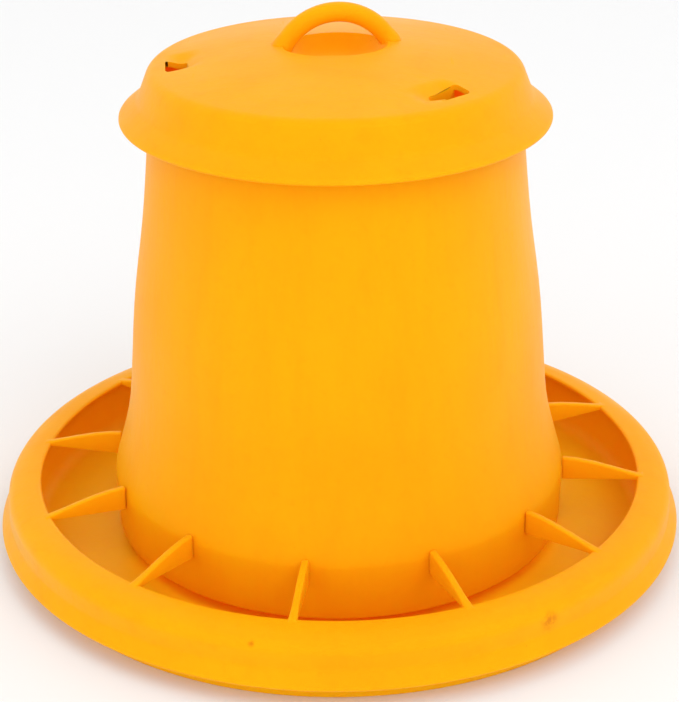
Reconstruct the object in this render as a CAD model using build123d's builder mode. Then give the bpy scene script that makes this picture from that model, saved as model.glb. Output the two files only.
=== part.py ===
from build123d import *
import os
from math import cos, radians, sin

# Gravity hopper feeder for rabbits and poultry: a floor pan with a spreader cone, an anti-waste grill
# over the pan's rim, a tapered hopper that stands in the pan, and a lid that closes the hopper's mouth.
# Millimetres, +Z up. The origin is on the floor, on the feeder's axis.

# ---- driving dimensions ----
tray_radius = 150.0  # grill flange, the widest ring
base_radius = 140.4  # foot of the pan on the floor
rim_opening_radius = 132.1  # inner edge of the grill's crown
crown_height = 29.9
skirt_radius = 98.8  # corner of the hopper's foot band, its widest ring
skirt_height = 33.0
hopper_foot = 8.2  # feed leaves under this edge
mouth_radius = 75.4  # hopper's mouth, under the lid
hopper_top = 205.0
brim_radius = 88.6
brim_height = 191.8
crown_of_lid = 219.6
dome_radius = 330.0
wall = 2.2  # moulded wall of every shell
lip_radius = 0.8  # rounding of a shell's open edge
lip_trim = 0.3  # what that rounding takes off the reach of a slanting lip
fit_gap = 0.4  # running room between neighbouring pieces

# ---- fins of the grill ----
fin_count = 12
fin_start_angle = -8.0
fin_thickness = 3.0
fin_edge_radius = 0.9
fin_root_radius = skirt_radius + fit_gap
fin_root_bottom = 26.3
fin_root_top = 36.7

# ---- bayonet between lid and hopper, angles seen from +X ----
window_angles = [186.0, -47.5]  # lid windows, one above each hook
window_radius = 64.3
window_depth = 9.2  # along the radius
window_width = 16.0  # across the radius
window_corner = 2.5
hook_bottom = 196.0
hook_inset = 0.6  # how much less than its window a hook measures, so the tool draws
ledge_thickness = 2.4
hook_stop = 2.2  # wall at the hook's clockwise end, where the lug comes to rest
lid_lock_turn = 24.0  # from dropped-in to locked

# ---- bayonet between hopper and pan ----
foot_lug_angles = [0.0, 180.0]
foot_lug_arc = 11.0
foot_lock_turn = 16.0
foot_lug_bottom = 14.0
foot_lug_top = 17.0
seat_inner_radius = 90.0
seat_outer_radius = 95.6

# ---- spreader cone ----
pan_floor = 3.2  # inside face of the pan's floor
cone_radius = 82.0
cone_height = 56.0

# ---- grip arch and finger bowl of the lid ----
handle_angle = 9.0
handle_top = 235.0
arch_radius = 24.6  # of the bar's middle line
arch_bar_radius = 4.0
arch_centre = (1.5, 5.3)
bowl_length = 43.0
bowl_width = 35.0
bowl_depth = 8.0
bowl_slope = 8.0  # how much the bowl narrows all round, from rim to floor

overlap = 0.5  # how deep an added feature reaches into the wall that carries it


def radial_plane(angle):
    """Upright plane through the axis: sketch x is the radius at this angle, sketch y is the height."""
    outward = (cos(radians(angle)), sin(radians(angle)), 0)
    sideways = (sin(radians(angle)), -cos(radians(angle)), 0)
    return Plane(origin=(0, 0, 0), x_dir=outward, z_dir=sideways)


os.makedirs("parts", exist_ok=True)

# ---- feed pan: dish with a foot ring, hollow spreader cone, two bayonet seats with arms ----
pan_rim_radius = tray_radius - 7.0
pan_rim_height = 23.6
foot_ring_width = 6.0
cone_shoulder = (10.0, cone_height - 4.0)
cone_side_wall = 1.5 * wall  # level room that leaves a full wall across the sloping flank
cone_crown_wall = 1.5 * cone_side_wall  # upright room under the cone's top
stop_arc = 2.5
arm_arc = 12.0
arm_thickness = 3.0
arm_bottom = foot_lug_top + fit_gap
arm_top = arm_bottom + arm_thickness
seat_middle_radius = (seat_inner_radius + seat_outer_radius) / 2

with BuildPart() as feed_pan:
    with BuildSketch(Plane.XZ):
        with BuildLine():
            FilletPolyline(
                (0, pan_floor - wall),
                (base_radius - foot_ring_width, pan_floor - wall),
                (base_radius - foot_ring_width, 0),
                (base_radius, 0),
                (pan_rim_radius, pan_rim_height),
                (pan_rim_radius - wall, pan_rim_height),
                (base_radius - 2 * wall, pan_floor),
                (0, pan_floor),
                radius=[0, 0.4, lip_radius, lip_radius, 1.0, 1.0, 7.0, 0],
                close=True,
            )
        make_face()
    revolve(axis=Axis.Z)
    with BuildSketch(Plane.XZ):
        with BuildLine():
            FilletPolyline(
                (0, pan_floor - overlap),
                (cone_radius, pan_floor - overlap),
                cone_shoulder,
                (0, cone_height),
                radius=[0, 0, 12.0, 0],
                close=True,
            )
        make_face()
    revolve(axis=Axis.Z)
    with BuildSketch(Plane.XZ):
        with BuildLine():
            Polyline(
                (0, 0),
                (cone_radius - cone_side_wall, 0),
                (cone_radius - cone_side_wall, pan_floor - wall),
                (cone_shoulder[0], cone_shoulder[1] - cone_crown_wall),
                (0, cone_height - cone_crown_wall),
                close=True,
            )
        make_face()
    revolve(axis=Axis.Z, mode=Mode.SUBTRACT)
    for lug_angle in foot_lug_angles:
        seat_start = lug_angle - foot_lug_arc / 2
        seat_arc = foot_lug_arc + foot_lock_turn
        seat_end = seat_start + seat_arc
        blocks = [
            (seat_start, seat_arc + stop_arc, pan_floor - overlap, foot_lug_bottom - fit_gap),
            (seat_end, stop_arc, pan_floor - overlap, arm_top),
            (seat_end - arm_arc, arm_arc + stop_arc, arm_bottom, arm_top),
        ]
        for start, arc, bottom, top in blocks:
            with BuildSketch(radial_plane(start)):
                with Locations((seat_middle_radius, (bottom + top) / 2)):
                    Rectangle(seat_outer_radius - seat_inner_radius, top - bottom)
            revolve(axis=Axis.Z, revolution_arc=arc)
feed_pan.part.label = "feed_pan"
export_step(feed_pan.part, "parts/feed_pan.step")

# ---- feed grill: crown, outer wall and flange, with twelve radial fins moulded on ----
grill_wall_radius = 146.2
crown_edge_height = 26.0
flange_root_height = 16.3
flange_height = 10.6
fin_tip_radius = 136.0  # inside the crown
fin_tip_top = 29.3
fin_tip_bottom = 28.3

with BuildPart() as fin:
    with BuildSketch(Plane.XZ):
        with BuildLine():
            top = ThreePointArc(
                (fin_root_radius, fin_root_top),
                (118.0, 34.0),
                (fin_tip_radius, fin_tip_top),
            )
            Polyline(top @ 1, (fin_tip_radius, fin_tip_bottom), (fin_root_radius, fin_root_bottom), top @ 0)
        make_face()
    extrude(amount=fin_thickness / 2, both=True)
    fillet(fin.edges().filter_by(GeomType.CIRCLE), radius=fin_edge_radius)

with BuildPart() as feed_grill:
    with BuildSketch(Plane.XZ) as grill_section:
        with BuildLine():
            FilletPolyline(
                (rim_opening_radius, crown_height),
                (139.5, crown_height - 0.4),
                (grill_wall_radius, crown_edge_height),
                (grill_wall_radius, flange_root_height),
                (tray_radius + lip_trim, flange_height),
                radius=[16.0, 4.5, 3.0],
            )
            offset(amount=wall, side=Side.RIGHT)
        make_face()
        ends = grill_section.vertices()
        fillet(ends.group_by(Axis.X)[0] + ends.sort_by(Axis.Y)[:2], radius=lip_radius)
    revolve(axis=Axis.Z)
    with PolarLocations(0, fin_count, start_angle=fin_start_angle):
        add(fin.part)
feed_grill.part.label = "feed_grill"
export_step(feed_grill.part, "parts/feed_grill.step")

# ---- hopper: tapered open tube with a flared skirt, foot band and two sets of inward lugs ----
mouth_lug_length = 10.5
mouth_lug_width = 14.0
mouth_lug_thickness = 2.6
mouth_lug_radius = mouth_radius - wall + overlap - mouth_lug_length / 2
mouth_lug_height = hook_bottom + ledge_thickness + fit_gap + mouth_lug_thickness / 2
lug_root_radius = skirt_radius - wall

with BuildPart() as hopper:
    with BuildSketch(Plane.XZ) as hopper_section:
        with BuildLine():
            FilletPolyline(
                (mouth_radius, hopper_top),
                (80.75, 149.4),
                (86.5, 113.0),
                (90.8, 60.8),
                (skirt_radius, skirt_height),
                (skirt_radius - 0.5, hopper_foot),
                radius=[490.0, 400.0, 120.0, 13.0],
            )
            offset(amount=wall, side=Side.RIGHT)
        make_face()
        ends = hopper_section.vertices().sort_by(Axis.Y)
        fillet(ends[:2] + ends[-2:], radius=lip_radius)
    revolve(axis=Axis.Z)
    for window_angle in window_angles:
        with Locations(Plane.XY.offset(mouth_lug_height)):
            with PolarLocations(mouth_lug_radius, 1, start_angle=window_angle + lid_lock_turn):
                Box(mouth_lug_length, mouth_lug_width, mouth_lug_thickness)
    for lug_angle in foot_lug_angles:
        with BuildSketch(radial_plane(lug_angle - foot_lug_arc / 2)):
            with Locations(((seat_inner_radius + lug_root_radius) / 2, (foot_lug_bottom + foot_lug_top) / 2)):
                Rectangle(lug_root_radius - seat_inner_radius, foot_lug_top - foot_lug_bottom)
        revolve(axis=Axis.Z, revolution_arc=foot_lug_arc)
hopper.part.label = "hopper"
export_step(hopper.part, "parts/hopper.step")

# ---- lid: crowned cap with brim, finger bowl, grip arch, windows and bayonet hooks ----
arch_foot = crown_of_lid - 2.7  # the arch ends inside the dome's wall
arch_centre_height = handle_top - arch_bar_radius - arch_radius
hook_depth = window_depth - hook_inset
hook_width = window_width - hook_inset
hook_top = crown_of_lid - 6.0  # inside the dome's wall
leg_thickness = wall + hook_inset
leg_radius = window_radius - (window_depth + wall) / 2

with BuildPart() as arch:
    with Locations(Location((*arch_centre, arch_centre_height), (90, 0, 0))):
        Torus(arch_radius, arch_bar_radius)
    with Locations((*arch_centre, arch_foot)):
        Box(
            4 * arch_radius,
            4 * arch_radius,
            4 * arch_radius,
            align=(Align.CENTER, Align.CENTER, Align.MAX),
            mode=Mode.SUBTRACT,
        )

with BuildPart() as lid:
    with BuildSketch(Plane.XZ) as lid_section:
        with BuildLine():
            dome = JernArc((0, crown_of_lid), (1, 0), dome_radius, -11.5)
            FilletPolyline(
                dome @ 1,
                (76.0, 211.1),
                (81.1, 198.0),
                (brim_radius + lip_trim, brim_height),
                radius=[5.5, 6.0],
            )
            offset(amount=wall, side=Side.RIGHT)
        make_face()
        fillet(lid_section.vertices().sort_by(Axis.X)[-2:], radius=lip_radius)
    revolve(axis=Axis.Z)
    for rim_z, grow, mode in [(crown_of_lid - wall, wall, Mode.ADD), (crown_of_lid, 0, Mode.SUBTRACT)]:
        with BuildSketch(Plane.XY.offset(rim_z)):
            Ellipse(bowl_length / 2 + grow, bowl_width / 2 + grow, rotation=handle_angle)
        with BuildSketch(Plane.XY.offset(rim_z - bowl_depth)):
            Ellipse(
                bowl_length / 2 - bowl_slope + grow,
                bowl_width / 2 - bowl_slope + grow,
                rotation=handle_angle,
            )
        loft(mode=mode)
    with Locations(Rotation(0, 0, handle_angle)):
        add(arch.part)
    for window_angle in window_angles:
        with BuildSketch(Plane.XY.offset(hook_bottom)):
            with PolarLocations(window_radius, 1, start_angle=window_angle):
                RectangleRounded(window_depth, window_width, window_corner)
        extrude(amount=crown_of_lid - hook_bottom, mode=Mode.SUBTRACT)
        with BuildSketch(Plane.XY.offset(hook_bottom)):
            with PolarLocations(window_radius, 1, start_angle=window_angle):
                Rectangle(hook_depth, hook_width)
        extrude(amount=ledge_thickness)
        with BuildSketch(Plane.XY.offset(hook_bottom)):
            with PolarLocations(leg_radius, 1, start_angle=window_angle):
                Rectangle(leg_thickness, hook_width)
            with PolarLocations(window_radius, 1, start_angle=window_angle):
                with Locations((0, (hook_stop - hook_width) / 2)):
                    Rectangle(hook_depth, hook_stop)
        extrude(amount=hook_top - hook_bottom)
lid.part.label = "lid"
export_step(lid.part, "parts/lid.step")
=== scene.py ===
import math

import bmesh
import bpy
import numpy as np
from mathutils import Matrix, Vector


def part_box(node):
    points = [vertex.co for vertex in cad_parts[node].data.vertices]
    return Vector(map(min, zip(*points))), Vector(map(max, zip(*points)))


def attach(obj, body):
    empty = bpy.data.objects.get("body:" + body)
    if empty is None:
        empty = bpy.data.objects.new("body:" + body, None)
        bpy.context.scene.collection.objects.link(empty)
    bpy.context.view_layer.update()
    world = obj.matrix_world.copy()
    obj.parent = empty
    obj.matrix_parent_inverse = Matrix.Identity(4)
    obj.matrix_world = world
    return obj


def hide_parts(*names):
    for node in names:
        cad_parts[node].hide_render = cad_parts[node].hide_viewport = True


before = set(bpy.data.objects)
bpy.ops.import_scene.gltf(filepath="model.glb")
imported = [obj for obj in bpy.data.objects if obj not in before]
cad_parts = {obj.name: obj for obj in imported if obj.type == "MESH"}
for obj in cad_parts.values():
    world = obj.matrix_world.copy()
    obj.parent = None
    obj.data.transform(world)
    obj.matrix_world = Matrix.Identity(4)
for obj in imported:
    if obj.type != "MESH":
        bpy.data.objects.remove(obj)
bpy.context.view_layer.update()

# The looks of a hopper feeder: lid, hopper, feed grill and feed pan, all moulded in yellow plastic.
# Outlines are (radius, height) in millimetres about the feeder's axis; meshes are made in metres.

MM = 0.001
SEGMENTS = 288  # steps round the axis
ARC_STEP = math.radians(7)  # a rounded corner is cut into steps of about this turn
WALL = 2.2
SHARP_DEGREES = 38  # faces that meet more sharply than this keep a crisp edge


def size_of(node):
    """Largest radius, lowest and highest point of a CAD node, in millimetres."""
    low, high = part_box(node)
    return (high.x - low.x) / 2 / MM, low.z / MM, high.z / MM


tray_radius, flange_low, fin_root_top = size_of("feed_grill")
skirt_radius, hopper_foot, hopper_top = size_of("hopper")
brim_radius, hook_bottom, handle_top = size_of("lid")
pan_radius, floor_z, cone_top = size_of("feed_pan")


# ---------------------------------------------------------------- outlines

def spun(vector, angle):
    c, s = math.cos(angle), math.sin(angle)
    return np.array([vector[0] * c - vector[1] * s, vector[0] * s + vector[1] * c])


def rounded(corners):
    """Points of a line through (r, z, radius) corners, each corner rounded to its radius."""
    points = [np.array(corners[0][:2], float)]
    for before, corner, after in zip(corners, corners[1:], corners[2:]):
        here = np.array(corner[:2], float)
        come = here - np.array(before[:2], float)
        leave = np.array(after[:2], float) - here
        come /= np.linalg.norm(come)
        leave /= np.linalg.norm(leave)
        turn = math.atan2(come[0] * leave[1] - come[1] * leave[0], come @ leave)
        radius = corner[2]
        if radius == 0 or abs(turn) < 1e-6:
            points.append(here)
            continue
        start = here - come * radius * math.tan(abs(turn) / 2)
        side = math.copysign(1.0, turn)
        centre = start + side * radius * np.array([-come[1], come[0]])
        steps = max(3, int(abs(turn) / ARC_STEP) + 1)
        for k in range(steps + 1):
            points.append(centre + spun(start - centre, turn * k / steps))
    points.append(np.array(corners[-1][:2], float))
    return points


def divided(points, longest):
    """The same line with extra points, so that no run is longer than longest."""
    result = [points[0]]
    for a, b in zip(points, points[1:]):
        n = max(1, math.ceil(np.linalg.norm(b - a) / longest))
        result += [a + (b - a) * k / n for k in range(1, n + 1)]
    return result


def inward_normals(points):
    """Unit normals on the right of a line, longer at corners so that an offset keeps its distance."""
    p = np.array(points)
    runs = np.diff(p, axis=0)
    runs /= np.linalg.norm(runs, axis=1)[:, None]
    sides = np.stack([runs[:, 1], -runs[:, 0]], axis=1)
    first = np.vstack([sides[:1], sides])
    second = np.vstack([sides, sides[-1:]])
    middle = first + second
    return middle / (1 + np.sum(first * second, axis=1))[:, None]


def half_round(a, b, outward, steps=6):
    """Points of a half circle from a to b that bulges outward, without a and b themselves."""
    centre = (a + b) / 2
    spoke = a - centre
    reach = np.array(outward, float) * np.linalg.norm(spoke)
    angles = [math.pi * k / steps for k in range(1, steps)]
    return [centre + spoke * math.cos(t) + reach * math.sin(t) for t in angles]


def shell_loop(outline, wall=WALL, rounded_start=True):
    """Closed loop round a moulded wall: the outline, a rounded end, and back along its inward offset."""
    outer = [np.array(p) for p in outline]
    inner = [p + n * wall for p, n in zip(outer, inward_normals(outer))]
    ahead = outer[-1] - outer[-2]
    lip = half_round(outer[-1], inner[-1], ahead / np.linalg.norm(ahead))
    loop = outer + lip + inner[::-1]
    if rounded_start:
        behind = outer[0] - outer[1]
        loop += half_round(inner[0], outer[0], behind / np.linalg.norm(behind))
    return loop


# ---------------------------------------------------------------- meshes

def make_object(name, verts, faces):
    """A mesh object in metres from points in millimetres."""
    mesh = bpy.data.meshes.new(name)
    mesh.from_pydata((np.array(verts) * MM).tolist(), [], faces)
    mesh.validate()
    mesh.update()
    obj = bpy.data.objects.new(name, mesh)
    bpy.context.scene.collection.objects.link(obj)
    return obj


def ring_faces(rings, count, closed):
    """Quads between rings of vertex numbers. A ring of one vertex is a pole."""
    faces = []
    pairs = list(zip(rings, rings[1:]))
    if closed:
        pairs.append((rings[-1], rings[0]))
    for a, b in pairs:
        for k in range(count):
            n = (k + 1) % count
            if len(a) == 1:
                faces.append((a[0], b[k], b[n]))
            elif len(b) == 1:
                faces.append((a[k], b[0], a[n]))
            else:
                faces.append((a[k], b[k], b[n], a[n]))
    return faces


def oval_mesh(ovals, closed):
    """A surface through ovals about the axis: (half length, half width, height), where height is a
    number or height(x, y). An oval of no size is a pole."""
    verts, rings = [], []
    for half_length, half_width, height in ovals:
        height_at = height if callable(height) else lambda x, y: height
        if half_length < 1e-6:
            rings.append([len(verts)])
            verts.append((0.0, 0.0, height_at(0.0, 0.0)))
            continue
        rings.append(list(range(len(verts), len(verts) + SEGMENTS)))
        for k in range(SEGMENTS):
            a = 2 * math.pi * k / SEGMENTS
            x, y = half_length * math.cos(a), half_width * math.sin(a)
            verts.append((x, y, height_at(x, y)))
    return verts, ring_faces(rings, SEGMENTS, closed)


def lathe(name, loop):
    """The loop turned about the axis. A loop that starts and ends on the axis is closed by its poles."""
    ovals = [(r, r, z) for r, z in loop]
    return make_object(name, *oval_mesh(ovals, closed=loop[0][0] > 1e-6))


def loft(name, sections):
    """A closed solid through sections, each the same number of points, capped at both ends."""
    count = len(sections[0])
    verts = [p for s in sections for p in s]
    rings = [list(range(i * count, (i + 1) * count)) for i in range(len(sections))]
    faces = ring_faces(rings, count, False)
    faces.append(tuple(rings[0]))
    faces.append(tuple(reversed(rings[-1])))
    return make_object(name, verts, faces)


def outward(obj):
    """Makes the faces of a closed mesh point outward."""
    bm = bmesh.new()
    bm.from_mesh(obj.data)
    bmesh.ops.recalc_face_normals(bm, faces=bm.faces)
    bm.to_mesh(obj.data)
    bm.free()


def combine(target, others, operation):
    """Joins other solids to the target, or cuts them from it, and removes them."""
    outward(target)
    for other in others:
        outward(other)
        modifier = target.modifiers.new("combine", "BOOLEAN")
        modifier.operation = operation
        modifier.solver = "EXACT"
        modifier.object = other
        bpy.context.view_layer.update()
        result = target.evaluated_get(bpy.context.evaluated_depsgraph_get())
        mesh = bpy.data.meshes.new_from_object(result)
        target.modifiers.clear()
        old = target.data
        target.data = mesh
        bpy.data.meshes.remove(old)
        bpy.data.objects.remove(other)
    return target


def rounded_box_section(half_width, bottom, top, bottom_radius, top_radius, steps=4):
    """(across, height) points of an upright rounded rectangle, anticlockwise from bottom left."""
    corners = [
        (-half_width + bottom_radius, bottom + bottom_radius, bottom_radius, math.pi),
        (half_width - bottom_radius, bottom + bottom_radius, bottom_radius, 1.5 * math.pi),
        (half_width - top_radius, top - top_radius, top_radius, 0.0),
        (-half_width + top_radius, top - top_radius, top_radius, 0.5 * math.pi),
    ]
    points = []
    for x, z, radius, start in corners:
        for k in range(steps + 1):
            a = start + 0.5 * math.pi * k / steps
            points.append((x + radius * math.cos(a), z + radius * math.sin(a)))
    return points


def turned(points, degrees):
    """Points turned about the feeder's axis."""
    c, s = math.cos(math.radians(degrees)), math.sin(math.radians(degrees))
    return [(x * c - y * s, x * s + y * c, z) for x, y, z in points]


def block(name, angle, radial, across, height, edge=0.4):
    """A block with rounded edges at an angle round the axis.
    radial, across and height are (low, high)."""
    half = (across[1] - across[0]) / 2
    middle = (across[1] + across[0]) / 2
    sections = []
    stations = [(radial[0], edge), (radial[0] + 0.3 * edge, 0.3 * edge), (radial[0] + edge, 0.0)]
    stations += [(radial[1] - edge, 0.0), (radial[1] - 0.3 * edge, 0.3 * edge), (radial[1], edge)]
    for r, inset in stations:
        low, high = height[0] + inset, height[1] - inset
        outline = rounded_box_section(half - inset, low, high, edge, edge)
        sections.append(turned([(r, middle + y, z) for y, z in outline], angle))
    return loft(name, sections)


def arc_block(name, angles, radial, height, edge=0.4):
    """A block that follows a circle about the axis between two angles, with rounded edges."""
    half = (radial[1] - radial[0]) / 2
    middle = (radial[1] + radial[0]) / 2
    turn = angles[1] - angles[0]
    ease = math.degrees(edge / middle)
    steps = max(2, int(turn / 2.5))
    stations = [(0.0, edge), (0.3 * ease, 0.3 * edge), (ease, 0.0)]
    stations += [(turn * k / steps, 0.0) for k in range(1, steps)]
    stations += [(turn - ease, 0.0), (turn - 0.3 * ease, 0.3 * edge), (turn, edge)]
    sections = []
    for a, inset in stations:
        low, high = height[0] + inset, height[1] - inset
        outline = rounded_box_section(half - inset, low, high, edge, edge)
        sections.append(turned([(middle + y, 0.0, z) for y, z in outline], angles[0] + a))
    return loft(name, sections)


def finish_piece(obj, node, body):
    """Smooth shading with crisp moulded corners, and the piece's place in the frame."""
    outward(obj)
    mesh = obj.data
    mesh.shade_smooth()
    mesh.set_sharp_from_angle(angle=math.radians(SHARP_DEGREES))
    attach(obj, body)
    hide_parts(node)


def smooth_step(low, high, value):
    t = min(1.0, max(0.0, (value - low) / (high - low)))
    return t * t * (3 - 2 * t)


# ---------------------------------------------------------------- lid

LID_DOME_RADIUS = 330.0
LID_CROWN_BELOW_HANDLE = 15.4
DOME_EDGE = 65.0  # where the dome ends and the shoulder starts
DOME_RING_STEP = 1.1
SHEET_UNDERSIDE = 14.0  # depth below the crown that no point of the dome's sheet reaches
HANDLE_ANGLE = 9.0

BOWL = (21.5, 17.5)  # half length and half width of the finger bowl
BOWL_DEPTH = 8.0
BOWL_FLOOR_SHARE = 0.56
BOWL_FLOOR_SAG = 0.5
BOWL_SHARES = [0.12, 0.24, 0.36, 0.46, 0.54, 0.6, 0.65, 0.7, 0.75, 0.8, 0.85, 0.9, 0.94, 0.97, 0.99, 1.0]
BOWL_SURROUND = 34.0  # the rings are oval at the bowl and round from this radius on
SURROUND_RINGS = 12
BOWL_WALL_SPREAD = 1.2  # how much wider the bowl is underneath, to keep its steep wall thick

WINDOW_ANGLES = [186.0, -47.5]
WINDOW_RADIUS = 64.3
WINDOW = (9.2, 16.0)  # along and across the radius
WINDOW_CORNER = 2.5
SCOOP_DEPTH = 2.6
LEDGE_THICKNESS = 2.4  # of the bayonet hook under each window
HOOK_STOP = 2.2
HOOK_INSET = 0.3

ARCH_RADIUS = 24.6
ARCH_BAR = 4.0
ARCH_CENTRE = (1.5, 5.3)  # along and across the arch
ARCH_FOOT = 5.4  # below the crown, inside the wall where dome and bowl meet
ARCH_FLARE = 0.8  # how much the bar swells where it runs into the dome
ARCH_STEPS = 56
ARCH_BAR_STEPS = 28

lid_crown = handle_top - LID_CROWN_BELOW_HANDLE


def dome_height(r):
    return lid_crown - LID_DOME_RADIUS + math.sqrt(LID_DOME_RADIUS ** 2 - r * r)


def scoop_depth(x, y):
    """A soft hollow that leads down into each window from its clockwise, inner corner."""
    depth = 0.0
    for angle in WINDOW_ANGLES:
        c, s = math.cos(math.radians(angle)), math.sin(math.radians(angle))
        along, across = x * c + y * s - WINDOW_RADIUS, y * c - x * s
        width = math.cos(min(1.0, abs(along + 3.0) / 8.0) * math.pi / 2) ** 2
        reach = smooth_step(-17.0, -7.0, across) * (1 - smooth_step(2.0, 8.0, across))
        depth = max(depth, SCOOP_DEPTH * width * reach)
    return depth


def lid_rings():
    """(half length, half width, bowl share) of each ring on the lid's top, from the middle outward.
    The share is 1 at the bowl's edge and more outside it."""
    rings = [(0.0, 0.0, 0.0)]
    rings += [(BOWL[0] * share, BOWL[1] * share, share) for share in BOWL_SHARES]
    for k in range(1, SURROUND_RINGS + 1):
        t = k / SURROUND_RINGS
        length, width = (half + (BOWL_SURROUND - half) * t for half in BOWL)
        rings.append((length, width, 1.0 + t))
    radius = BOWL_SURROUND
    while radius < DOME_EDGE:
        radius += DOME_RING_STEP
        rings.append((radius, radius, 9.0))
    return rings


def bowl_drop(share):
    if share >= 1.0:
        return 0.0
    if share <= BOWL_FLOOR_SHARE:
        return BOWL_DEPTH + BOWL_FLOOR_SAG * (1 - (share / BOWL_FLOOR_SHARE) ** 2)
    return BOWL_DEPTH * math.sin(math.pi / 2 * (1 - share) / (1 - BOWL_FLOOR_SHARE))


def lid_oval(length, width, share, lower):
    """One ring of the dome's top, or of its underside when lower is the wall's thickness."""

    def height(x, y):
        return dome_height(math.hypot(x, y)) - bowl_drop(share) - lower

    return length, width, height


def make_lid():
    top = lid_rings()
    ovals = [lid_oval(*ring, 0.0) for ring in top]
    # from the dome's edge over the shoulder, down the side and out along the brim
    last = top[-1][0]
    outline = rounded([
        (last, dome_height(last), 0),
        (76.0, lid_crown - 8.5, 5.5),
        (81.1, lid_crown - 21.6, 6.0),
        (brim_radius - 0.2, lid_crown - 27.5, 0),
    ])
    side = shell_loop(divided(outline, 1.6), rounded_start=False)
    ovals += [(r, r, z) for r, z in side[1:]]
    # and back along the underside
    for length, width, share in reversed(top[:-1]):
        if length:
            bowl_wall = smooth_step(0.3, 0.7, share) * (1 - smooth_step(1.0, 2.0, share))
            length += BOWL_WALL_SPREAD * bowl_wall
            width += BOWL_WALL_SPREAD * bowl_wall
        ovals.append(lid_oval(length, width, share, WALL))
    verts, faces = oval_mesh(ovals, closed=False)
    # the bowl's long side lies along the grip arch
    lid = make_object("lid_moulding", turned(verts, HANDLE_ANGLE), faces)

    windows, additions = [], []
    for angle in WINDOW_ANGLES:
        windows.append(window_cutter(angle))
        additions += window_hook(angle)
    combine(lid, windows, "DIFFERENCE")
    combine(lid, additions + [make_arch()], "UNION")
    for vertex in lid.data.vertices:
        x, y, z = vertex.co / MM
        sheet = smooth_step(lid_crown - SHEET_UNDERSIDE, lid_crown - 10.0, z)
        vertex.co.z -= scoop_depth(x, y) * sheet * MM
    return lid


def window_hook(angle):
    """The bayonet hook under a window: a ledge on a leg, closed by a stop at its clockwise end."""
    inner, outer = WINDOW_RADIUS - WINDOW[0] / 2, WINDOW_RADIUS + WINDOW[0] / 2
    across = (-WINDOW[1] / 2 + HOOK_INSET, WINDOW[1] / 2 - HOOK_INSET)
    shelf = (inner - 1.0, outer - HOOK_INSET)
    leg = (inner - WALL, inner + 0.3)
    stop = (across[0], across[0] + HOOK_STOP)
    ledge_top = hook_bottom + LEDGE_THICKNESS
    return [
        block("ledge", angle, shelf, across, (hook_bottom, ledge_top)),
        block("leg", angle, leg, across, (hook_bottom, lid_crown - 6.0)),
        block("stop", angle, shelf, stop, (hook_bottom, lid_crown - 7.0)),
    ]


def window_cutter(angle):
    """An upright prism with rounded corners, from under the lid's top to above it."""
    plan = rounded_box_section(
        WINDOW[0] / 2, -WINDOW[1] / 2, WINDOW[1] / 2, WINDOW_CORNER, WINDOW_CORNER)
    sections = []
    for z in (lid_crown - SHEET_UNDERSIDE, lid_crown + 5.0):
        sections.append(turned([(WINDOW_RADIUS + u, v, z) for u, v in plan], angle))
    return loft("window", sections)


def make_arch():
    """The grip arch: a round bar whose feet spread a little into the dome."""
    middle = handle_top - ARCH_BAR - ARCH_RADIUS
    end = math.acos((lid_crown - ARCH_FOOT - middle) / ARCH_RADIUS)
    sections = []
    for k in range(ARCH_STEPS + 1):
        a = end * (2 * k / ARCH_STEPS - 1)
        height = middle + ARCH_RADIUS * math.cos(a) - lid_crown
        flare = ARCH_FLARE * (1 - smooth_step(-2.0, 3.5, height)) ** 2
        ring = []
        for n in range(ARCH_BAR_STEPS):
            u = 2 * math.pi * n / ARCH_BAR_STEPS
            out, side = math.cos(u), math.sin(u)
            reach = ARCH_BAR + (flare if out > 0 else flare * (1 - abs(out)))
            r = ARCH_RADIUS + reach * out
            x, y = ARCH_CENTRE[0] + r * math.sin(a), ARCH_CENTRE[1] + reach * side
            ring.append((x, y, middle + r * math.cos(a)))
        sections.append(turned(ring, HANDLE_ANGLE))
    return loft("arch", sections)


# ---------------------------------------------------------------- hopper

LID_LOCK_TURN = 24.0  # degrees from an unlocked hook to its lug
FOOT_LUG_ANGLES = [0.0, 180.0]
FOOT_LUG_ARC = 11.0
FOOT_LUG = (14.0, 17.0)  # bottom and top
SEAT = (90.0, 95.6)  # inner and outer radius
SKIRT_HEIGHT = 33.0
MOUTH_RADIUS = 75.4
MOUTH_LUG_RADIAL = (63.2, 74.3)
MOUTH_LUG_HALF = 7.0
MOUTH_LUG_ABOVE_LEDGE = (0.4, 3.0)


def make_hopper():
    outline = rounded([
        (MOUTH_RADIUS, hopper_top - 0.2, 0),
        (80.75, 149.4, 490.0),
        (86.5, 113.0, 400.0),
        (90.8, 60.8, 120.0),
        (skirt_radius, SKIRT_HEIGHT, 11.0),
        (skirt_radius - 0.5, hopper_foot + 1.1, 0),
    ])
    hopper = lathe("hopper_moulding", shell_loop(divided(outline, 5.0)))
    lugs = []
    ledge_top = hook_bottom + LEDGE_THICKNESS
    height = tuple(ledge_top + above for above in MOUTH_LUG_ABOVE_LEDGE)
    across = (-MOUTH_LUG_HALF, MOUTH_LUG_HALF)
    for angle in WINDOW_ANGLES:
        lugs.append(block("lug", angle + LID_LOCK_TURN, MOUTH_LUG_RADIAL, across, height))
    for angle in FOOT_LUG_ANGLES:
        angles = (angle - FOOT_LUG_ARC / 2, angle + FOOT_LUG_ARC / 2)
        lugs.append(arc_block("lug", angles, (SEAT[0], skirt_radius - 1.2), FOOT_LUG))
    return combine(hopper, lugs, "UNION")


# ---------------------------------------------------------------- feed grill

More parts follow.
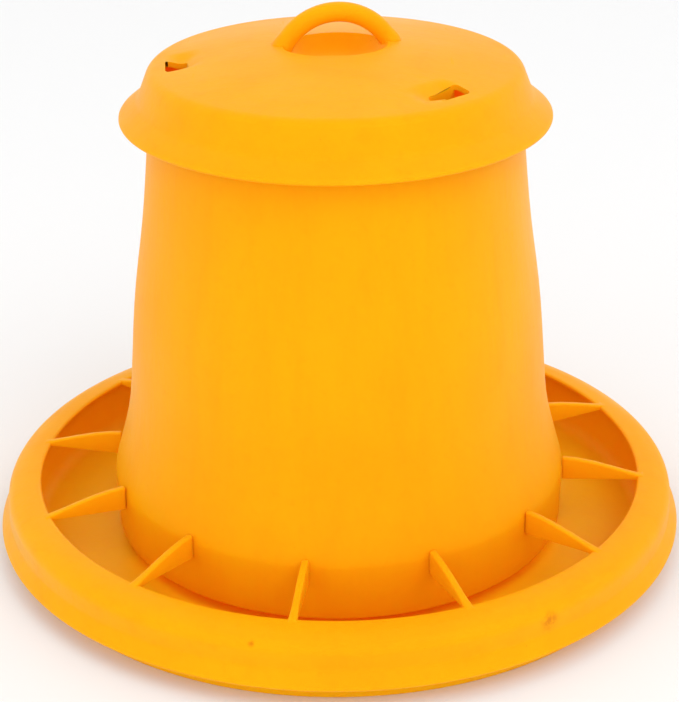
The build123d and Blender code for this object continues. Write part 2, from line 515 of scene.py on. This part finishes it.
FIN_COUNT = 12
FIN_ANGLES = [-8.0 + 360 / FIN_COUNT * k for k in range(FIN_COUNT)]
FIN_THICKNESS = 3.0
FIN_GAP = 0.15  # between a fin and the hopper's skirt
FIN_ROOT_BOTTOM = 26.3
FIN_TIP = 139.5
FIN_TOP = [  # (radius, height) of its top edge, after the root
    (105.0, 36.3), (112.0, 35.2), (120.0, 33.4), (127.0, 31.6),
    (131.0, 30.6), (134.0, 29.9), (136.0, 29.2), (FIN_TIP, 28.9),
]
FIN_ROOT_EASE = [(0.0, 0.55), (0.25, 0.2), (0.9, 0.0)]  # (distance from the root, inset)
FIN_STEPS = 22
FIN_EDGE = 0.9
FIN_SPREAD = 0.4  # how much thicker it is each side at the rim
RIM_OPENING_RADIUS = 132.1
RIM_WALL_RADIUS = 146.2
CROWN_HEIGHT = 29.9
CROWN_EDGE_HEIGHT = 26.0
FLANGE_ROOT_HEIGHT = 16.3


def make_fin(angle):
    """A blade from the hopper's skirt to the crown of the rim, with soft edges."""
    root = skirt_radius + FIN_GAP
    top_line = [(root, fin_root_top)] + FIN_TOP
    bottom_line = [(root, FIN_ROOT_BOTTOM), (RIM_OPENING_RADIUS, 28.1), (FIN_TIP, 28.2)]
    stations = [(root + away, inset) for away, inset in FIN_ROOT_EASE]
    start = FIN_ROOT_EASE[-1][0]
    for k in range(1, FIN_STEPS + 1):
        stations.append((root + start + (FIN_TIP - root - start) * k / FIN_STEPS, 0.0))
    sections = []
    for r, inset in stations:
        top = np.interp(r, *zip(*top_line))
        bottom = np.interp(r, *zip(*bottom_line))
        half = FIN_THICKNESS / 2 - inset + FIN_SPREAD * smooth_step(125.0, 134.0, r)
        edge = min(FIN_EDGE, (top - bottom) / 2.3)
        outline = rounded_box_section(half, bottom + inset, top - inset, min(0.35, edge), edge)
        sections.append(turned([(r, u, z) for u, z in outline], angle))
    return loft("fin", sections)


def make_grill():
    outline = rounded([
        (RIM_OPENING_RADIUS + 0.6, CROWN_HEIGHT - 0.05, 0),
        (139.5, 29.5, 16.0),
        (RIM_WALL_RADIUS, CROWN_EDGE_HEIGHT, 5.5),
        (RIM_WALL_RADIUS, FLANGE_ROOT_HEIGHT, 3.0),
        (tray_radius - 0.2, flange_low + 1.0, 0),
    ])
    grill = lathe("grill_moulding", shell_loop(divided(outline, 2.0)))
    return combine(grill, [make_fin(angle) for angle in FIN_ANGLES], "UNION")


# ---------------------------------------------------------------- feed pan

PAN_FLOOR = 3.2
PAN_RIM_HEIGHT = 23.6
BASE_RADIUS = 140.4
FOOT_RING = 6.0  # width of the ring it stands on
CONE_RADIUS = 82.0
FOOT_LOCK_TURN = 16.0
SEAT_STOP = 2.5  # degrees that the stop at a seat's end takes
SEAT_ROOF = (0.4, 3.4)  # bottom and top of the arm, above the hopper's lug
SEAT_ROOF_ARC = 12.0


def make_pan():
    """The pan: cone, floor, wall and foot ring, and two seats that hold the hopper's foot lugs."""
    underside = PAN_FLOOR - WALL
    outline = rounded([
        (0.0, cone_top, 0),
        (10.0, cone_top - 4.0, 12.0),
        (CONE_RADIUS, PAN_FLOOR, 5.0),
        (BASE_RADIUS - 2 * WALL, PAN_FLOOR, 7.0),
        (pan_radius - WALL, PAN_RIM_HEIGHT, 1.0),
        (pan_radius, PAN_RIM_HEIGHT, 1.0),
        (BASE_RADIUS, floor_z, 0.8),
        (BASE_RADIUS - FOOT_RING, floor_z, 0.8),
        (BASE_RADIUS - FOOT_RING, underside, 0.4),
        (CONE_RADIUS - 3.3, underside, 1.0),
        (10.0, cone_top - 8.9, 6.0),
        (0.0, cone_top - 5.0, 0),
    ])
    pan = lathe("pan_moulding", divided(outline, 4.0))
    parts = []
    roof = (FOOT_LUG[1] + SEAT_ROOF[0], FOOT_LUG[1] + SEAT_ROOF[1])
    for angle in FOOT_LUG_ANGLES:
        start = angle - FOOT_LUG_ARC / 2
        stop = start + FOOT_LUG_ARC + FOOT_LOCK_TURN
        end = stop + SEAT_STOP
        parts.append(arc_block("seat", (start, end), SEAT, (PAN_FLOOR - 1.0, FOOT_LUG[0] - 0.4)))
        parts.append(arc_block("stop", (stop, end), SEAT, (PAN_FLOOR - 0.9, roof[1])))
        parts.append(arc_block("arm", (stop - SEAT_ROOF_ARC, end), SEAT, roof))
    return combine(pan, parts, "UNION")


# ---------------------------------------------------------------- plastic

def moulded_plastic(name, colour, shade, stretch, marks):
    """Satin yellow polypropylene. Its colour drifts slowly from colour to shade, melt has left faint
    streaks, drawn out where stretch is small, the skin has a fine grain, hairline scuffs cross it,
    corners are rubbed paler, and hollows and creases are darkened with painted shade. marks are
    (place, size, depth) dark patches, the place in metres: painted shade at the fin roots and under
    the grip arch, and dark spots on the rim."""
    material = bpy.data.materials.new(name)
    material.use_nodes = True
    nodes, links = material.node_tree.nodes, material.node_tree.links
    shader = nodes["Principled BSDF"]
    place = nodes.new("ShaderNodeTexCoord").outputs["Object"]

    def put(socket, value):
        if isinstance(value, bpy.types.NodeSocket):
            links.new(value, socket)
        else:
            socket.default_value = value

    def noise(scale, detail, squeeze=(1, 1, 1), roughness=0.55):
        mapping = nodes.new("ShaderNodeMapping")
        mapping.inputs["Scale"].default_value = squeeze
        links.new(place, mapping.inputs["Vector"])
        texture = nodes.new("ShaderNodeTexNoise")
        texture.inputs["Scale"].default_value = scale
        texture.inputs["Detail"].default_value = detail
        texture.inputs["Roughness"].default_value = roughness
        links.new(mapping.outputs["Vector"], texture.inputs["Vector"])
        return texture.outputs["Fac"]

    def ranged(value, low, high, to_low=0.0, to_high=1.0):
        node = nodes.new("ShaderNodeMapRange")
        node.interpolation_type = "SMOOTHSTEP"
        for socket, v in zip(node.inputs, (value, low, high, to_low, to_high)):
            put(socket, v)
        return node.outputs["Result"]

    def maths(operation, *values):
        node = nodes.new("ShaderNodeMath")
        node.operation = operation
        for socket, v in zip(node.inputs, values):
            put(socket, v)
        return node.outputs[0]

    def blend(factor, a, b):
        node = nodes.new("ShaderNodeMix")
        node.data_type = "RGBA"
        for socket, v in ((node.inputs[0], factor), (node.inputs[6], a), (node.inputs[7], b)):
            put(socket, v)
        return node.outputs[2]

    def scaled(tint, *by):
        return tuple(min(1.0, c * k) for c, k in zip(tint, by)) + (1.0,)

    drift = noise(11.0, 3.0)
    streaks = noise(70.0, 5.0, stretch, 0.6)
    mottle = noise(240.0, 4.0, (1, 1, 1), 0.65)
    grain = noise(2600.0, 2.0)
    scuffs = noise(330.0, 6.0, (1.0, 0.10, 0.55), 0.72)
    specks = noise(900.0, 2.0)
    pointiness = nodes.new("ShaderNodeNewGeometry").outputs["Pointiness"]

    deep = scaled(shade, 0.97, 0.86, 1.0)
    pale = scaled(colour, 1.03, 1.10, 3.0)
    body = blend(ranged(drift, 0.36, 0.66), colour + (1.0,), shade + (1.0,))
    body = blend(ranged(streaks, 0.42, 0.80, 0.0, 0.32), body, deep)
    body = blend(ranged(mottle, 0.50, 0.78, 0.0, 0.22), body, deep)
    body = blend(ranged(scuffs, 0.62, 0.76, 0.0, 0.34), body, pale)
    body = blend(ranged(pointiness, 0.51, 0.58, 0.0, 0.45), body, pale)
    # painted shade: hollows and creases, where pointiness is low, are darkened towards deep
    body = blend(ranged(pointiness, 0.49, 0.44, 0.0, 0.45), body, deep)
    body = blend(ranged(specks, 0.74, 0.80, 0.0, 0.45), body, scaled(shade, 0.6, 0.45, 1.0))
    # dark patches at given places: painted shade at the fin roots and under the grip arch, and dark
    # spots on the rim
    for where, size, depth in marks:
        apart = nodes.new("ShaderNodeVectorMath")
        apart.operation = "DISTANCE"
        links.new(place, apart.inputs[0])
        apart.inputs[1].default_value = where
        near = ranged(apart.outputs["Value"], size, 0.0, 0.0, depth)
        broken = maths("MULTIPLY", near, ranged(mottle, 0.40, 0.62))
        body = blend(broken, body, scaled(shade, 0.72, 0.45, 1.0))
    links.new(body, shader.inputs["Base Color"])

    gloss = ranged(drift, 0.3, 0.7, 0.36, 0.47)
    gloss = maths("ADD", gloss, ranged(scuffs, 0.60, 0.74, 0.0, 0.16))
    links.new(gloss, shader.inputs["Roughness"])

    def bump(height, strength, distance, before=None):
        node = nodes.new("ShaderNodeBump")
        node.inputs["Strength"].default_value = strength
        node.inputs["Distance"].default_value = distance
        links.new(height, node.inputs["Height"])
        if before:
            links.new(before, node.inputs["Normal"])
        return node.outputs["Normal"]

    normal = bump(grain, 0.30, 0.00008)
    normal = bump(mottle, 0.30, 0.00035, normal)
    normal = bump(streaks, 0.35, 0.0009, normal)
    normal = bump(scuffs, 0.20, 0.00012, normal)
    links.new(normal, shader.inputs["Normal"])
    shader.inputs["Subsurface Weight"].default_value = 0.35
    shader.inputs["Subsurface Scale"].default_value = 0.004
    shader.inputs["Subsurface Radius"].default_value = (1.0, 0.40, 0.05)
    shader.inputs["Specular IOR Level"].default_value = 0.13
    shader.inputs["Specular Tint"].default_value = (1.0, 0.70, 0.14, 1)
    return material


def round_the_axis(r, z, angles):
    """Places in metres at a radius and height in millimetres."""
    turns = [math.radians(a) for a in angles]
    return [(r * MM * math.cos(t), r * MM * math.sin(t), z * MM) for t in turns]


YELLOW, AMBER = (0.950, 0.405, 0.003), (0.940, 0.380, 0.003)
# the feed pan's yellow is painted lighter than the other pieces: painted light that stands in for
# daylight coming through the thin plastic into the trough
PAN_YELLOW_PAINTED_LIGHT, PAN_AMBER_PAINTED_LIGHT = (0.985, 0.470, 0.005), (0.980, 0.445, 0.005)
ALL_WAYS = (1.0, 1.0, 1.0)
DOWN_THE_WALL = (1.0, 1.0, 0.10)

# painted shade in the crease where each fin meets the hopper's skirt, and dark spots at given places on
# the rim
fin_root_painted_shade = [(p, 0.0022, 0.9) for p in round_the_axis(skirt_radius + 1.0, 27.0, FIN_ANGLES)]
rim_marks = [(p, 0.0060, 0.8) for p in round_the_axis(RIM_WALL_RADIUS, 21.5, [-56.0])]
rim_marks += [(p, 0.0022, 0.8) for p in round_the_axis(145.5, 26.0, [-103.5, 38.0, 151.0])]
# painted shade just under the front of the grip arch, where it overhangs the finger bowl
arch_underside_painted_shade = [((x, -0.0036, handle_top * MM - 0.0062), 0.0016, 0.9) for x in (-0.005, 0.006)]

for make, node, body, slot, tints, stretch, marks in [
    (make_lid, "lid", "lid", "lid_plastic", (YELLOW, AMBER), ALL_WAYS, arch_underside_painted_shade),
    (make_hopper, "hopper", "hopper", "hopper_plastic", (YELLOW, AMBER), DOWN_THE_WALL, []),
    (make_grill, "feed_grill", "grill", "grill_plastic", (YELLOW, AMBER), ALL_WAYS,
     fin_root_painted_shade + rim_marks),
    (make_pan, "feed_pan", "pan", "pan_plastic", (PAN_YELLOW_PAINTED_LIGHT, PAN_AMBER_PAINTED_LIGHT), ALL_WAYS, []),
]:
    piece = make()
    piece.data.materials.clear()
    piece.data.materials.append(moulded_plastic(node + "_yellow", *tints, stretch, marks))
    finish_piece(piece, node, body)


# ---------------------------------------------------------------- floor, lights, camera

def stage_floor():
    """A plain pale floor that rises smoothly into a backdrop far behind the feeder."""
    reach, back, height = 3.0, 2.4, 2.4
    line = rounded([(-reach, 0, 0), (back, 0, 1.2), (back, height, 0)])
    verts, faces = [], []
    for y, z in line:
        verts += [(-reach, y, z), (reach, y, z)]
    for k in range(len(line) - 1):
        faces.append((2 * k, 2 * k + 1, 2 * k + 3, 2 * k + 2))
    floor = make_object("floor", np.array(verts) / MM, faces)
    material = bpy.data.materials.new("pale_floor")
    material.use_nodes = True
    shader = material.node_tree.nodes["Principled BSDF"]
    shader.inputs["Base Color"].default_value = (0.90, 0.90, 0.90, 1)
    shader.inputs["Roughness"].default_value = 0.85
    floor.data.materials.append(material)
    floor.data.shade_smooth()


def add_light(name, kind, place, watts):
    light = bpy.data.objects.new(name, bpy.data.lights.new(name, kind))
    light.data.energy = watts
    light.location = place
    bpy.context.scene.collection.objects.link(light)
    return light


def area_light(name, place, size, watts):
    """A round soft box that faces the feeder."""
    light = add_light(name, "AREA", place, watts)
    light.data.shape = "DISK"
    light.data.size = size
    aim = Vector((0, 0, 0.1)) - Vector(place)
    light.rotation_mode = "QUATERNION"
    light.rotation_quaternion = aim.to_track_quat("-Z", "Y")


def light_through_walls():
    """The orange daylight that comes through the plastic and fills the closed hopper."""
    light = add_light("hopper_glow", "POINT", (0, 0, 0.11), 0.10)
    light.data.color = (1.0, 0.50, 0.06)
    light.data.shadow_soft_size = 0.03


def camera(place, yaw, pitch, roll, lens):
    """A camera that looks along +Y turned by yaw, down by pitch, then rolled, in degrees."""
    yaw, pitch, roll = (math.radians(a) for a in (yaw, pitch, roll))
    level = math.cos(pitch)
    ahead = Vector((math.sin(yaw) * level, math.cos(yaw) * level, -math.sin(pitch)))
    right = Vector((math.cos(yaw), -math.sin(yaw), 0))
    up = right.cross(ahead)
    x_axis = math.cos(roll) * right + math.sin(roll) * up
    y_axis = -math.sin(roll) * right + math.cos(roll) * up
    data = bpy.data.cameras.new("camera")
    data.lens = lens
    data.sensor_width = 36.0
    obj = bpy.data.objects.new("camera", data)
    bpy.context.scene.collection.objects.link(obj)
    turn = Matrix((x_axis, y_axis, -ahead)).transposed()
    obj.matrix_world = Matrix.Translation(place) @ turn.to_4x4()
    bpy.context.scene.camera = obj


stage_floor()
world = bpy.data.worlds.new("studio")
world.use_nodes = True
background = world.node_tree.nodes["Background"]
background.inputs["Color"].default_value = (1, 1, 1, 1)
background.inputs["Strength"].default_value = 1.02
bpy.context.scene.world = world
bpy.context.scene.view_settings.view_transform = "Standard"
area_light("key", (0.9, -1.1, 1.6), 1.2, 6.0)
area_light("fill", (-1.2, -1.2, 1.1), 1.4, 2.0)
area_light("front", (0.1, -1.9, 0.75), 1.2, 3.2)
light_through_walls()
camera(Vector((0, -0.7474, 0.4303)), 0.05, 24.97, -0.52, 97.3)
